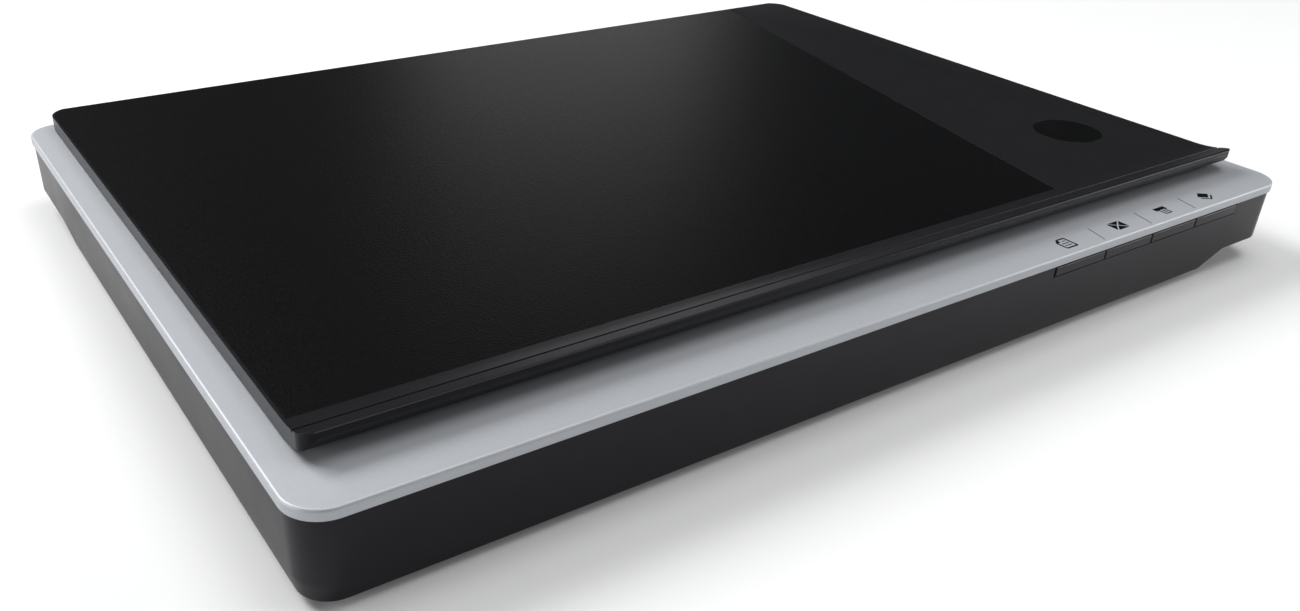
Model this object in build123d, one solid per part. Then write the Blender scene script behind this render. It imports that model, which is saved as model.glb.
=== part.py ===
"""Flatbed scanner: tray, bezel, platen, scan carriage with its drive, keys and hinged lid.

Millimetres, +Z up. X runs along the front, from the hinge-side view's left to right,
Y from the front keys to the rear hinges. The origin is under the middle of the case,
on the surface that the feet stand on.
"""
import math
import os

from build123d import *

# ---------------------------------------------------------------- overall sizes
case_width = 398.0          # along X, at the bezel's rim
case_depth = 286.0          # along Y, at the bezel's rim
corner_radius = 11.2        # bezel corners, in plan
rim_fillet = 0.9            # round along the bezel's top edge
foot_height = 3.0
pedestal_height = 6.2       # lower step of the tray
tray_height = 25.2          # tray, from its lowest face to the bezel
rim_height = 3.2            # bezel's visible band
lid_thickness = 5.7
lip_rise = 2.6              # lip's tip above the lid's top

# ---------------------------------------------------------------- walls and clearances
tray_wall = 2.0
tray_floor = 2.0
tray_inset = 0.7            # tray's wall behind the bezel's rim
pedestal_draft = 10.0       # degrees, on the pedestal's front and left faces
bezel_plate = 2.2
lid_wall = 1.8
lid_gap = 0.4               # lid's underside above the bezel
part_gap = 0.3              # between pieces that move past each other
running_gap = 0.05          # radial, shaft in its bush or pin in its knuckle
seat_gap = 0.1              # radial, a fixed piece in its hole

# ---------------------------------------------------------------- platen and lid outline
window_length = 299.0       # along X, just over the long side of an A4 sheet
window_width = 216.0
window_left_margin = 19.0   # from the case's left side to the window
window_front_margin = 40.0
glass_thickness = 2.8
glass_overlap = 5.0         # glass under the bezel, on three sides
glass_home_overlap = 14.0   # and at the home end, under the white strip
tape_thickness = 0.3
lid_side_margin = 9.3       # bezel left bare beside the lid
lid_front_margin = 17.4     # and in front of its lip
lid_rear_margin = 1.3
lid_corner = 9.0           # rear corners in plan
lip_corner = 5.0           # front corners in plan
hinge_inset = 4.4           # hinge axis, from the case's rear
hinge_spacing = 260.0       # between the two hinges
hinge_height = 2.5          # hinge axis above the lid's underside
hinge_lift = 12.0           # how far the posts rise for a thick book

# ---------------------------------------------------------------- drive sizes
shaft_radius = 2.5
bush_wall = 0.8
belt_width = 4.0
belt_thickness = 0.8
pulley_radius = 4.7
flange_radius = 6.2
gear_module = 0.5
drive_teeth = 32
small_teeth = 16
large_teeth = 44
pinion_teeth = 12
gear_play = 0.12            # added to each centre distance
motor_radius = 17.5
motor_clearance = 0.6       # above the motor, under the bezel

# ---------------------------------------------------------------- carriage sizes
home_offset = 6.0           # scan line at rest, past the window, under the white strip
end_margin = 1.0            # scan line's last place, inside the window's left edge
sensor_length = 232.0
sensor_width = 16.0
sensor_clearance = 0.7      # sensor bar's top under the glass
sensor_float = 0.8          # how far the sensor bar sinks against its springs
carriage_half = 11.0

# ---------------------------------------------------------------- keys
key_count = 4
key_margin = 29.0           # from the last key to the case's right side
key_pitch = 26.5
key_gap = 0.5
key_height = 3.4
key_proud = 0.3
key_travel = 0.8
key_drop = 0.9              # key's top under the bezel

# ---------------------------------------------------------------- levels
floor_z = foot_height + tray_floor                 # inner floor of the pedestal well
step_z = foot_height + pedestal_height             # underside of the raised floor
upper_floor_z = step_z + tray_floor
tray_top = foot_height + tray_height
bezel_top = tray_top + rim_height
plate_under = bezel_top - bezel_plate
glass_top = plate_under - tape_thickness
glass_under = glass_top - glass_thickness
lid_bottom = bezel_top + lid_gap
lid_top = lid_bottom + lid_thickness
hinge_z = lid_bottom + hinge_height

# ---------------------------------------------------------------- plan positions
tray_half_x = case_width / 2 - tray_inset
tray_half_y = case_depth / 2 - tray_inset
inner_x = tray_half_x - tray_wall
inner_y = tray_half_y - tray_wall
pedestal_right = case_width / 2 - 41.0     # foot of the slope under the right end
pedestal_rear = case_depth / 2 - 55.0      # foot of the slope under the rear
slope_run = 11.8            # slope's length in plan
window_left = window_left_margin - case_width / 2
window_front = window_front_margin - case_depth / 2
window_right = window_left + window_length
window_rear = window_front + window_width
window_mid = window_front + window_width / 2
home_line = window_right + home_offset
travel = home_line - (window_left + end_margin)
lid_width = case_width - 2 * lid_side_margin
lid_front = lid_front_margin - case_depth / 2
lid_rear = case_depth / 2 - lid_rear_margin
hinge_y = case_depth / 2 - hinge_inset
foot_inset = 21.0
foot_points = [(x, y) for y in (foot_inset - case_depth / 2, pedestal_rear - 18.0)
               for x in (foot_inset - case_width / 2, pedestal_right - 16.0)]
foot_radius = 8.0
foot_recess = 0.6
rear_screw_y = case_depth / 2 - 9.0
screw_points = [(12.0 - case_width / 2, rear_screw_y), (-20.0, rear_screw_y),
                (case_width / 2 - 10.0, rear_screw_y),
                (case_width / 2 - 12.0, 10.0 - case_depth / 2)]
screw_boss_top = 22.0
hinge_points = [-hinge_spacing / 2, hinge_spacing / 2]
key_right = case_width / 2 - key_margin
key_left = key_right - key_count * key_pitch
tab_points = [key_left - reach for reach in (224.0, 164.0, 104.0, 44.0)]
tab_half = 5.0


# ================================================================ small helpers
def block(x0, x1, y0, y1, z0, z1):
    """A box between two corners."""
    centre = Pos((x0 + x1) / 2, (y0 + y1) / 2, (z0 + z1) / 2)
    return centre * Box(x1 - x0, y1 - y0, z1 - z0)


def upright(x, y, radius, z0, z1):
    """A vertical cylinder."""
    return Pos(x, y, (z0 + z1) / 2) * Cylinder(radius, z1 - z0)


def along_x(y, z, radius, x0, x1):
    """A cylinder that lies along X."""
    return Pos((x0 + x1) / 2, y, z) * Rot(0, 90, 0) * Cylinder(radius, x1 - x0)


def along_y(x, z, radius, y0, y1):
    """A cylinder that lies along Y."""
    return Pos(x, (y0 + y1) / 2, z) * Rot(90, 0, 0) * Cylinder(radius, y1 - y0)


def rounded_plate(x0, x1, y0, y1, radius, z0, z1):
    """A flat plate with rounded corners in plan."""
    outline = RectangleRounded(x1 - x0, y1 - y0, radius)
    return extrude(Pos((x0 + x1) / 2, (y0 + y1) / 2, z0) * outline, amount=z1 - z0)


def prism_x(points, x0, x1):
    """An outline of (y, z) points, swept along X."""
    face = make_face(Polyline(*[(0, y, z) for y, z in points], close=True))
    return Pos(x0, 0, 0) * extrude(face, amount=x1 - x0, dir=(1, 0, 0))


def prism_y(points, y0, y1):
    """An outline of (x, z) points, swept along Y."""
    face = make_face(Polyline(*[(x, 0, z) for x, z in points], close=True))
    return Pos(0, y0, 0) * extrude(face, amount=y1 - y0, dir=(0, 1, 0))


def prism_z(points, z0, z1):
    """An outline of (x, y) points, swept up."""
    face = make_face(Polyline(*[(x, y, 0) for x, y in points], close=True))
    return Pos(0, 0, z0) * extrude(face, amount=z1 - z0, dir=(0, 0, 1))


def group(pieces):
    """Separate solids that share one node."""
    solids = []
    for piece in pieces:
        solids += piece.solids()
    return Compound(children=solids)


def save(shape, node):
    """Write one node."""
    export_step(shape, "parts/" + node + ".step")


# ================================================================ tray and bezel
def tray_form(inset, lift):
    """The tray's outer form, drawn in by inset, with its floors raised by lift."""
    half_x = tray_half_x - inset
    half_y = tray_half_y - inset
    radius = corner_radius - tray_inset - inset
    low = foot_height + lift
    step = step_z + lift
    upper = rounded_plate(-half_x, half_x, -half_y, half_y, radius, step, tray_top)
    outline = Pos(0, 0, step) * RectangleRounded(2 * half_x, 2 * half_y, radius)
    pedestal = extrude(outline, amount=pedestal_height, dir=(0, 0, -1), taper=pedestal_draft)
    slope = pedestal_height / slope_run
    slant = inset * math.hypot(1, slope) / slope
    start = lift / slope - slant
    foot_x = pedestal_right + start
    foot_y = pedestal_rear + start
    over = 1.0
    run = over / slope
    far = case_width
    right_cut = prism_y([(foot_x - run, low - over), (foot_x + slope_run, step),
                         (far, step), (far, low - over)], -far, far)
    rear_cut = prism_x([(foot_y - run, low - over), (foot_y + slope_run, step),
                        (far, step), (far, low - over)], -far, far)
    return upper + (pedestal - right_cut - rear_cut)


shaft_y = window_front - 14.0
bush_radius = shaft_radius + running_gap + bush_wall
sleeve_floor_gap = 0.4       # under the carriage's sleeve
sleeve_wall = 0.25           # at its thinnest, under the bush
shaft_z = floor_z + sleeve_floor_gap + sleeve_wall + bush_radius
drive_x = home_line + 24.0
shaft_left = 1.8 - inner_x
shaft_right = drive_x + 5.5
saddle_length = 6.0
saddle_half = shaft_radius + 2.0
clip_thickness = 1.0

belt_y = shaft_y - 13.0
belt_low = shaft_z - 2.6
belt_high = belt_low + belt_width
belt_radius = pulley_radius + part_gap
idler_x = window_left - 5.0
axle_radius = 1.5

gear_low = shaft_z + shaft_radius + clip_thickness + 0.5
gear_face = 2.2
large_low = gear_low + gear_face + 0.8
large_face = 1.6
bracket_low = large_low + large_face + 0.8
bracket_high = bracket_low + 1.0
reduction_reach = gear_module * (drive_teeth + small_teeth) / 2 + gear_play
motor_reach = gear_module * (large_teeth + pinion_teeth) / 2 + gear_play
train_angle = 45.0
motor_angle = 39.0
reduction_x = drive_x + reduction_reach * math.cos(math.radians(train_angle))
reduction_y = belt_y + reduction_reach * math.sin(math.radians(train_angle))
motor_x = reduction_x + motor_reach * math.cos(math.radians(motor_angle))
motor_y = reduction_y + motor_reach * math.sin(math.radians(motor_angle))

carriage_low = shaft_z + shaft_radius + clip_thickness + 0.9
carriage_floor = 1.2
carriage_wall = 1.6
sensor_low = carriage_low + carriage_floor + sensor_float + part_gap
sensor_high = glass_under - sensor_clearance
sensor_front = window_mid - sensor_length / 2
sensor_rear = window_mid + sensor_length / 2
sleeve_half = 7.0
rail_y = window_rear + 6.5
rail_half = 1.5
rail_top = upper_floor_z + 1.5
clamp_half = 5.0
clamp_shift = 6.0            # clamp's middle, to the right of the scan line

post_half_width = 8.0
post_half_depth = 1.6
post_low = upper_floor_z + 1.8
knuckle_radius = 2.1
pin_radius = 1.0
ear_width = 2.5
ear_start = post_half_width + part_gap
ear_end = ear_start + ear_width
notch_half = ear_end + 0.5
notch_front = hinge_y - 5.0
arm_front = hinge_y - 26.6
ledge_front = notch_front - 0.6
ledge_depth = 1.0

board_right = case_width / 2 - 17.0
board_left = board_right - 39.0
board_rear = inner_y - 2.3
board_front = board_rear - 98.0
board_low = upper_floor_z + 3.0
board_thickness = 1.6
board_points = [(x, y) for y in (board_front + 5.0, board_rear - 18.0)
                for x in (board_left + 4.0, board_right - 4.0)]
standoff_radius = 2.4
small_screw_radius = 1.0

port_x = board_right - 20.0
port_half = 6.0
port_height = 11.0
port_length = 16.0
port_face = inner_y + 1.2
port_mouth_half = 4.2

key_high = tray_top - key_drop
key_low = key_high - key_height
key_front = -tray_half_y - key_proud
key_flange = 1.1
key_flange_front = -inner_y + part_gap
key_board_front = 7.3 - inner_y
key_board_thickness = 1.6
key_board_low = bracket_high + 0.6
key_board_high = tray_top - 0.6
key_board_left = key_left - 6.0
key_board_right = key_right + 5.0
switch_body = 3.2
switch_tip = key_board_front - 4.1
stem_end = switch_tip - part_gap - key_travel


bracket_posts = [(drive_x - 2.0, belt_y + 30.0), (drive_x + 39.0, belt_y + 29.0),
                 (drive_x + 41.5, belt_y + 9.0)]
spring_rib_x = idler_x + 19.0
root_depth = 0.5             # how far a boss or rib starts inside its wall


def tray_posts():
    """Bosses, posts, ribs and saddles, down to the tray's lowest level."""
    low = foot_height
    posts = []
    for x, y in screw_points:
        posts.append(upright(x, y, 4.6, low, screw_boss_top))
    for x, y in board_points:
        posts.append(upright(x, y, standoff_radius, low, board_low))
    for x, y in bracket_posts:
        posts.append(upright(x, y, 2.8, low, bracket_low))
    for x in (shaft_left, shaft_right - saddle_length):
        posts.append(block(x, x + saddle_length, shaft_y - saddle_half, shaft_y + saddle_half,
                           low, shaft_z))
    posts.append(block(-inner_x + 3, home_line + 15, rail_y - rail_half, rail_y + rail_half,
                       low, rail_top))
    for x in hinge_points:
        posts.append(block(x - post_half_width - 3, x + post_half_width + 3,
                           hinge_y - post_half_depth - 3, inner_y + root_depth, low, tray_top))
    posts.append(block(spring_rib_x, spring_rib_x + 2, belt_y - 3, belt_y + 1, low, floor_z + 4))
    for x0, x1 in ((key_board_left - 2, key_board_left + 2),
                   (key_board_right - 2, key_board_right + 2)):
        posts.append(block(x0, x1, -inner_y - root_depth, key_board_front + 2.6,
                           key_board_low, tray_top - 2))
    return posts


def tray_cuts():
    """Holes, slots and notches in the tray."""
    cuts = []
    for x, y in screw_points:
        cuts.append(upright(x, y, 3.3, step_z - 1, step_z + 3))
        cuts.append(upright(x, y, 1.7, step_z, screw_boss_top + 1))
    for x, y in board_points:
        cuts.append(upright(x, y, small_screw_radius + seat_gap, board_low - 4, board_low + 1))
    for x, y in bracket_posts:
        cuts.append(upright(x, y, small_screw_radius + seat_gap, bracket_low - 4, bracket_low + 1))
    cuts.append(along_x(shaft_y, shaft_z, shaft_radius + running_gap, shaft_left, shaft_right))
    for x in hinge_points:
        cuts.append(block(x - post_half_width - part_gap, x + post_half_width + part_gap,
                          hinge_y - post_half_depth - part_gap, hinge_y + post_half_depth + part_gap,
                          upper_floor_z + 1, tray_top + 1))
    cuts.append(block(key_left - key_gap, key_right, -tray_half_y - 1, -inner_y + root_depth,
                      key_low - 0.35, tray_top + 1))
    cuts.append(block(key_board_left - seat_gap, key_board_right + seat_gap,
                      key_board_front - seat_gap, key_board_front + key_board_thickness + seat_gap,
                      key_board_low - seat_gap, tray_top + 1))
    cuts.append(block(port_x - port_half - 0.6, port_x + port_half + 0.6,
                      inner_y - root_depth, tray_half_y + 1,
                      board_low + board_thickness - part_gap,
                      board_low + board_thickness + port_height + part_gap))
    for x, y in foot_points:
        cuts.append(upright(x, y, foot_radius + seat_gap, foot_height - 1, foot_height + foot_recess))
    return cuts


def base_shell():
    """The black tray."""
    outer = tray_form(0, 0)
    shell = outer - tray_form(tray_wall, tray_floor)
    for post in tray_posts():
        shell += post & outer
    for cut in tray_cuts():
        shell -= cut
    return shell


def top_bezel():
    """The silver plate round the glass, with its rim, screw bosses and front tabs."""
    half_x = case_width / 2
    half_y = case_depth / 2
    plate = rounded_plate(-half_x, half_x, -half_y, half_y, corner_radius, tray_top, bezel_top)
    top_edges = plate.edges().group_by(Axis.Z)[-1]
    plate = fillet(top_edges, rim_fillet)
    rim = tray_inset + tray_wall + 0.2
    plate -= rounded_plate(-half_x + rim, half_x - rim, -half_y + rim, half_y - rim,
                           corner_radius - rim, tray_top - 1, plate_under)
    plate -= rounded_plate(window_left, window_right, window_front, window_rear, 1.0,
                           tray_top, bezel_top + 1)
    plate -= block(-inner_x + 9, inner_x - 9, ledge_front, half_y + 1,
                   bezel_top - ledge_depth, bezel_top + 1)
    for x, y in screw_points:
        plate += upright(x, y, 3.6, screw_boss_top, plate_under)
        plate -= upright(x, y, 1.5, screw_boss_top - 1, plate_under - 0.4)
    for x in tab_points:
        plate += block(x - tab_half, x + tab_half, -inner_y + 0.2, -inner_y + 1.7, tray_top - 4, plate_under)
    for x in hinge_points:
        plate -= block(x - post_half_width - part_gap, x + post_half_width + part_gap,
                       hinge_y - post_half_depth - part_gap, hinge_y + post_half_depth + part_gap,
                       tray_top - 1, bezel_top + 1)
    return plate


def glass_outline(extra, z0, z1):
    """The platen's outline, grown by extra on every side."""
    return block(window_left - extra, window_right + extra,
                 window_front - extra, window_rear + extra, z0, z1)


def glass_platen():
    """The sheet of glass that documents lie on."""
    return block(window_left - glass_overlap, window_right + glass_home_overlap,
                 window_front - glass_overlap, window_rear + glass_overlap,
                 glass_under, glass_top)


strip_left = window_right + 2.0
strip_right = window_right + 10.0


def glass_tape():
    """Double-sided tape that holds the glass under the bezel."""
    ring = block(window_left - glass_overlap, window_right + glass_home_overlap,
                 window_front - glass_overlap, window_rear + glass_overlap,
                 glass_top, plate_under)
    ring -= glass_outline(1.0, glass_top - 1, plate_under + 1)
    ring -= block(strip_left - 0.5, strip_right + 0.5, window_front, window_rear,
                  glass_top - 1, plate_under + 1)
    return ring


def calibration_strip():
    """White strip under the bezel that the sensor reads before each scan."""
    return block(strip_left, strip_right, window_front + 0.5, window_rear - 0.5,
                 glass_top, plate_under - 0.1)


def rubber_feet():
    """Four feet, let into the pedestal."""
    feet = []
    for x, y in foot_points:
        foot = upright(x, y, foot_radius, 0, foot_height + foot_recess)
        feet.append(fillet(foot.edges().group_by(Axis.Z)[0], 0.8))
    return group(feet)


def screw(x, y, head_low, head_radius, head_high, shank_radius, tip):
    """A pan-head screw that points up, with a cross recess in its head."""
    body = upright(x, y, head_radius, head_low, head_high)
    body += upright(x, y, shank_radius, head_high, tip)
    arm = head_radius * 0.55
    body -= block(x - arm, x + arm, y - 0.35, y + 0.35, head_low - 1, head_low + 0.8)
    body -= block(x - 0.35, x + 0.35, y - arm, y + arm, head_low - 1, head_low + 0.8)
    return body


def case_screws():
    """Screws that clamp the bezel to the tray, from below."""
    return group([screw(x, y, step_z + 1, 3.0, step_z + 3, 1.4, plate_under - 1.2)
                  for x, y in screw_points])


# ================================================================ electronics
def main_board():
    """The control board beside the port."""
    board = block(board_left, board_right, board_front, board_rear,
                  board_low, board_low + board_thickness)
    for x, y in board_points:
        board -= upright(x, y, small_screw_radius + 0.2, board_low - 1, board_low + 3)
    return board


cable_mid = board_front + 30.0
cable_half = 6.0
cable_thickness = 0.3
cable_right = board_left - 2.4


def board_components():
    """Chips, a crystal, capacitors and the ribbon's connector on the control board."""
    top = board_low + board_thickness
    chips = [(9, 23, 52, 66, 1.6), (27, 35, 58, 68, 1.4), (11, 20, 22, 28, 1.4),
             (25, 36, 36, 40.5, 3.5), (1, 6, 22, 38, 2.4)]
    parts = [Pos(board_left, board_front, 0) * block(x0, x1, y0, y1, top, top + height)
             for x0, x1, y0, y1, height in chips]
    for x, y in ((27.0, 18.0), (33.0, 18.0), (9.0, 44.0)):
        parts.append(upright(board_left + x, board_front + y, 2.0, top, top + 5.5))
    return group(parts)


def usb_port():
    """The square data socket in the rear wall, with its contact tongue."""
    low = board_low + board_thickness
    high = low + port_height
    mid = (low + high) / 2
    body = block(port_x - port_half, port_x + port_half, port_face - port_length, port_face, low, high)
    mouth = block(port_x - port_mouth_half, port_x + port_mouth_half,
                  port_face - 10, port_face + 1, mid - 4, mid + 4)
    mouth = fillet(mouth.edges().filter_by(Axis.Y).group_by(Axis.Z)[-1], 1.6)
    tongue = block(port_x - 2.8, port_x + 2.8, port_face - 11, port_face - 5, mid - 1.4, mid + 1.0)
    return body - mouth + tongue


def button_board():
    """The upright board behind the keys."""
    return block(key_board_left, key_board_right, key_board_front,
                 key_board_front + key_board_thickness, key_board_low, key_board_high)


def key_middle(index):
    """A key's middle, along the front."""
    return key_left + (index + 0.5) * key_pitch - key_gap / 2


def tact_switches():
    """One push switch behind each key."""
    mid = (key_low + key_high) / 2
    switches = []
    for index in range(key_count):
        x = key_middle(index)
        switch = block(x - 3, x + 3, key_board_front - switch_body, key_board_front,
                       mid - 2.6, mid + 2.2)
        switch += along_y(x, mid, 1.6, switch_tip, key_board_front - switch_body)
        switches.append(switch)
    return group(switches)


def key(index):
    """One key: its cap, the flange that keeps it in the wall, and its stem."""
    mid_x = key_middle(index)
    half = (key_pitch - key_gap) / 2
    mid_z = (key_low + key_high) / 2
    cap = block(mid_x - half, mid_x + half, key_front, key_flange_front, key_low, key_high)
    cap = fillet(cap.edges().group_by(Axis.Y)[0], 0.4)
    cap += block(mid_x - half, mid_x + half, key_flange_front, key_flange_front + key_flange,
                 key_low - 1.7, key_high)
    cap += along_y(mid_x, mid_z, 1.4, key_flange_front + key_flange, stem_end)
    return cap


def flex_cable():
    """The ribbon between the control board and the carriage, looped on the tray's floor."""
    low = floor_z + 0.1
    loop_radius = 3.1
    loop_x = home_line - travel / 2 - 3
    high = low + 2 * loop_radius
    y0 = cable_mid - cable_half
    y1 = cable_mid + cable_half
    lead_z = board_low + board_thickness + 1.2
    end_x = home_line - 4
    ribbon = block(cable_right, board_left + 1, y0, y1, lead_z, lead_z + cable_thickness)
    ribbon += block(cable_right, cable_right + cable_thickness, y0, y1, low, lead_z + cable_thickness)
    ribbon += block(loop_x, cable_right + cable_thickness, y0, y1, low, low + cable_thickness)
    loop = along_y(loop_x, low + loop_radius, loop_radius, y0, y1)
    loop -= along_y(loop_x, low + loop_radius, loop_radius - cable_thickness, y0 - 1, y1 + 1)
    loop -= block(loop_x, loop_x + 5, y0 - 1, y1 + 1, low - 1, high + 1)
    ribbon += loop
    ribbon += block(loop_x, end_x, y0, y1, high - cable_thickness, high)
    ribbon += block(end_x - cable_thickness, end_x, y0, y1, high - cable_thickness,
                    carriage_low - part_gap)
    return ribbon


# ================================================================ drive
def gear(x, y, teeth, z0, z1, bore, tooth_at):
    """A spur gear with straight-sided teeth, one of them at the angle tooth_at."""
    pitch_radius = gear_module * teeth / 2
    tip = pitch_radius + 0.85 * gear_module
    root = pitch_radius - 1.3 * gear_module
    step = 360 / teeth
    points = []
    for index in range(teeth):
        for radius, share in ((root, -0.27), (tip, -0.11), (tip, 0.11), (root, 0.27)):
            angle = math.radians(tooth_at + (index + share) * step)
            points.append((x + radius * math.cos(angle), y + radius * math.sin(angle)))
    return prism_z(points, z0, z1) - upright(x, y, bore, z0 - 1, z1 + 1)


def belt_pulley(x, high):
    """A flanged pulley with teeth for the belt, and a hub up to the level high."""
    bore = axle_radius + running_gap
    low = belt_low - 0.4
    pulley = upright(x, belt_y, flange_radius, low, belt_low - 0.1)
    pulley += upright(x, belt_y, flange_radius, belt_high + 0.1, belt_high + 0.4)
    pulley += upright(x, belt_y, pulley_radius - 0.6, low, high)
    teeth = 20
    for index in range(teeth):
        turn = Pos(x, belt_y, 0) * Rot(0, 0, index * 360 / teeth)
        pulley += turn * block(pulley_radius - 1.0, pulley_radius, -0.35, 0.35, low, belt_high + 0.2)
    return pulley - upright(x, belt_y, bore, low - 1, high + 1)


def drive_pulley():
    """The pulley that pulls the belt."""
    return belt_pulley(drive_x, gear_low)


def drive_gear():
    """The gear on top of the drive pulley."""
    return gear(drive_x, belt_y, drive_teeth, gear_low, gear_low + gear_face,
                axle_radius + running_gap, train_angle)


def idler_pulley():
    """The pulley at the belt's far end."""
    return belt_pulley(idler_x, belt_high + 0.6)


def reduction_gear():
    """A large gear and a small one, moulded together."""
    bore = axle_radius + running_gap
    small = gear(reduction_x, reduction_y, small_teeth, gear_low, large_low, bore,
                 train_angle + 180 + 180 / small_teeth)
    large = gear(reduction_x, reduction_y, large_teeth, large_low, large_low + large_face, bore,
                 motor_angle)
    return small + large


def motor_pinion():
    """The motor's shaft with its pinion."""
    pinion = gear(motor_x, motor_y, pinion_teeth, large_low - 0.5, large_low + large_face + 0.4,
                  0.5, motor_angle + 180 + 180 / pinion_teeth)
    return pinion + upright(motor_x, motor_y, 1.0, large_low - 1.0, bracket_high + 2)


def motor_can():
    """The stepper motor's housing."""
    can = upright(motor_x, motor_y, motor_radius, bracket_high, plate_under - motor_clearance)
    can = fillet(can.edges().group_by(Axis.Z)[-1], 1.0)
    can += upright(motor_x, motor_y, 5.0, bracket_low, bracket_high)
    return can - upright(motor_x, motor_y, 1.3, bracket_low - 1, bracket_high + 2.5)


def motor_bracket():
    """The steel plate that carries the motor and the gears' axles."""
    plate = rounded_plate(drive_x - 6, drive_x + 46.3, belt_y - 3.5, belt_y + 37.0, 3.0,
                          bracket_low, bracket_high)
    plate -= upright(motor_x, motor_y, 5.0 + seat_gap, bracket_low - 1, bracket_high + 1)
    for x, y in screw_points:
        plate -= upright(x, y, 5.2, bracket_low - 1, bracket_high + 1)
    for x, y in bracket_posts:
        plate -= upright(x, y, small_screw_radius + 0.2, bracket_low - 1, bracket_high + 1)
    return plate


def gear_axles():
    """Steel pins that the drive pulley and the reduction gear turn on."""
    return group([upright(drive_x, belt_y, axle_radius, floor_z, large_low - part_gap),
                  upright(reduction_x, reduction_y, axle_radius, gear_low - 0.6, bracket_low)])


def belt_tensioner():
    """The slide that carries the idler pulley's pin."""
    slide_top = belt_low - 0.7
    slide = block(idler_x - 8, idler_x + 9, belt_y - 5.8, belt_y + 2.2, floor_z, slide_top)
    slide += upright(idler_x, belt_y, axle_radius, slide_top, belt_high + 1.4)
    return slide


def tensioner_spring():
    """A folded strip spring between the tensioner and a rib on the floor."""
    start = idler_x + 9
    bars = 6
    strip = 0.5
    pitch = (spring_rib_x - start - strip) / (bars - 1)
    y0 = belt_y - 2.5
    y1 = belt_y + 0.5
    z0 = floor_z + 0.1
    z1 = floor_z + 2.1
    spring = None
    for index in range(bars):
        x = start + index * pitch
        bar = block(x, x + strip, y0, y1, z0, z1)
        spring = bar if spring is None else spring + bar
        if index < bars - 1:
            y = y0 if index % 2 else y1 - strip
            spring += block(x, x + pitch + strip, y, y + strip, z0, z1)
    return spring


def timing_belt():
    """The belt's closed loop round both pulleys."""
    length = drive_x - idler_x
    outer = belt_radius + belt_thickness
    middle = Pos((drive_x + idler_x) / 2, belt_y, belt_low)
    loop = extrude(middle * SlotCenterToCenter(length, 2 * outer), amount=belt_width)
    return loop - extrude(middle * SlotCenterToCenter(length, 2 * belt_radius), amount=belt_width)


def guide_shaft():
    """The polished rod that the carriage runs on."""
    shaft = along_x(shaft_y, shaft_z, shaft_radius, shaft_left, shaft_right)
    return chamfer(shaft.edges(), 0.4)


def shaft_clips():
    """Clips that hold the rod down in its saddles."""
    clips = []
    top = shaft_z + shaft_radius + clip_thickness
    for x in (shaft_left, shaft_right - saddle_length):
        clip = block(x, x + saddle_length, shaft_y - saddle_half, shaft_y + saddle_half, shaft_z, top)
        clip -= along_x(shaft_y, shaft_z, shaft_radius + running_gap, x - 1, x + saddle_length + 1)
        clips.append(clip)
    return group(clips)


# ================================================================ carriage and sensor
carriage_front = shaft_y - 5.0
carriage_rear = sensor_rear + carriage_wall + 1.5
well_half = sensor_width / 2 + 0.6
sleeve_reach = bush_radius + 1.05


def scan_carriage():
    """The tray that carries the sensor bar along the rod."""
    x0 = home_line - carriage_half
    x1 = home_line + carriage_half
    floor = carriage_low + carriage_floor
    body = block(x0, x1, carriage_front, carriage_rear, carriage_low, floor + 4.4)
    body -= block(home_line - well_half, home_line + well_half,
                  sensor_front - 1.5, sensor_rear + 1.5, floor, floor + 6)
    for y in (window_mid - 65.0, window_mid - 20.0, window_mid + 25.0):
        body -= rounded_plate(home_line - 5, home_line + 5, y, y + 30, 2, carriage_low - 1, floor + 1)
    body += block(home_line + clamp_shift - clamp_half, home_line + clamp_shift + clamp_half,
                  belt_y + 2.6, carriage_front, carriage_low, floor + 2)
    body += block(home_line - sleeve_half, home_line + sleeve_half,
                  shaft_y - sleeve_reach, shaft_y + sleeve_reach,
                  floor_z + sleeve_floor_gap, carriage_low)
    body -= along_x(shaft_y, shaft_z, bush_radius, x0, x1)
    return body


def shaft_bushes():
    """Two bronze bushes in the carriage's sleeve."""
    bushes = []
    for x in (home_line - sleeve_half, home_line + sleeve_half - 5):
        bush = along_x(shaft_y, shaft_z, bush_radius, x, x + 5)
        bush -= along_x(shaft_y, shaft_z, shaft_radius + running_gap, x - 1, x + 6)
        bushes.append(bush)
    return group(bushes)


def belt_clamp():
    """The block that grips the belt's rear run."""
    mid = home_line + clamp_shift
    run = belt_y + belt_radius
    clamp = block(mid - clamp_half, mid + clamp_half, belt_y + 2.8, belt_y + 7.6,
                  floor_z + 0.6, carriage_low)
    clamp -= block(mid - clamp_half - 1, mid + clamp_half + 1,
                   run - part_gap, run + belt_thickness + part_gap,
                   belt_low - part_gap, belt_high + part_gap)
    return clamp


def rear_glide():
    """The low-friction pad under the carriage's rear end."""
    return block(home_line - 8, home_line + 8, rail_y - rail_half, rail_y + rail_half,
                 rail_top + part_gap, carriage_low)


def sensor_springs():
    """Two bowed leaf springs that press the sensor bar up."""
    low = carriage_low + carriage_floor
    rise = sensor_low - low - 0.1
    leaf = 0.2
    springs = []
    for y in (sensor_front + 20, sensor_rear - 30):
        points = [(y, low), (y + 3, low), (y + 6, low + rise - leaf), (y + 9, low + rise - leaf),
                  (y + 12, low), (y + 15, low), (y + 15, low + leaf), (y + 12.1, low + leaf),
                  (y + 9.1, low + rise), (y + 5.9, low + rise), (y + 2.9, low + leaf), (y, low + leaf)]
        springs.append(prism_x(points, home_line - 3, home_line + 3))
    return group(springs)


sensor_half = sensor_width / 2
window_half = 6.0
lens_x = home_line - 0.8
guide_x = home_line + 3.4


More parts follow.
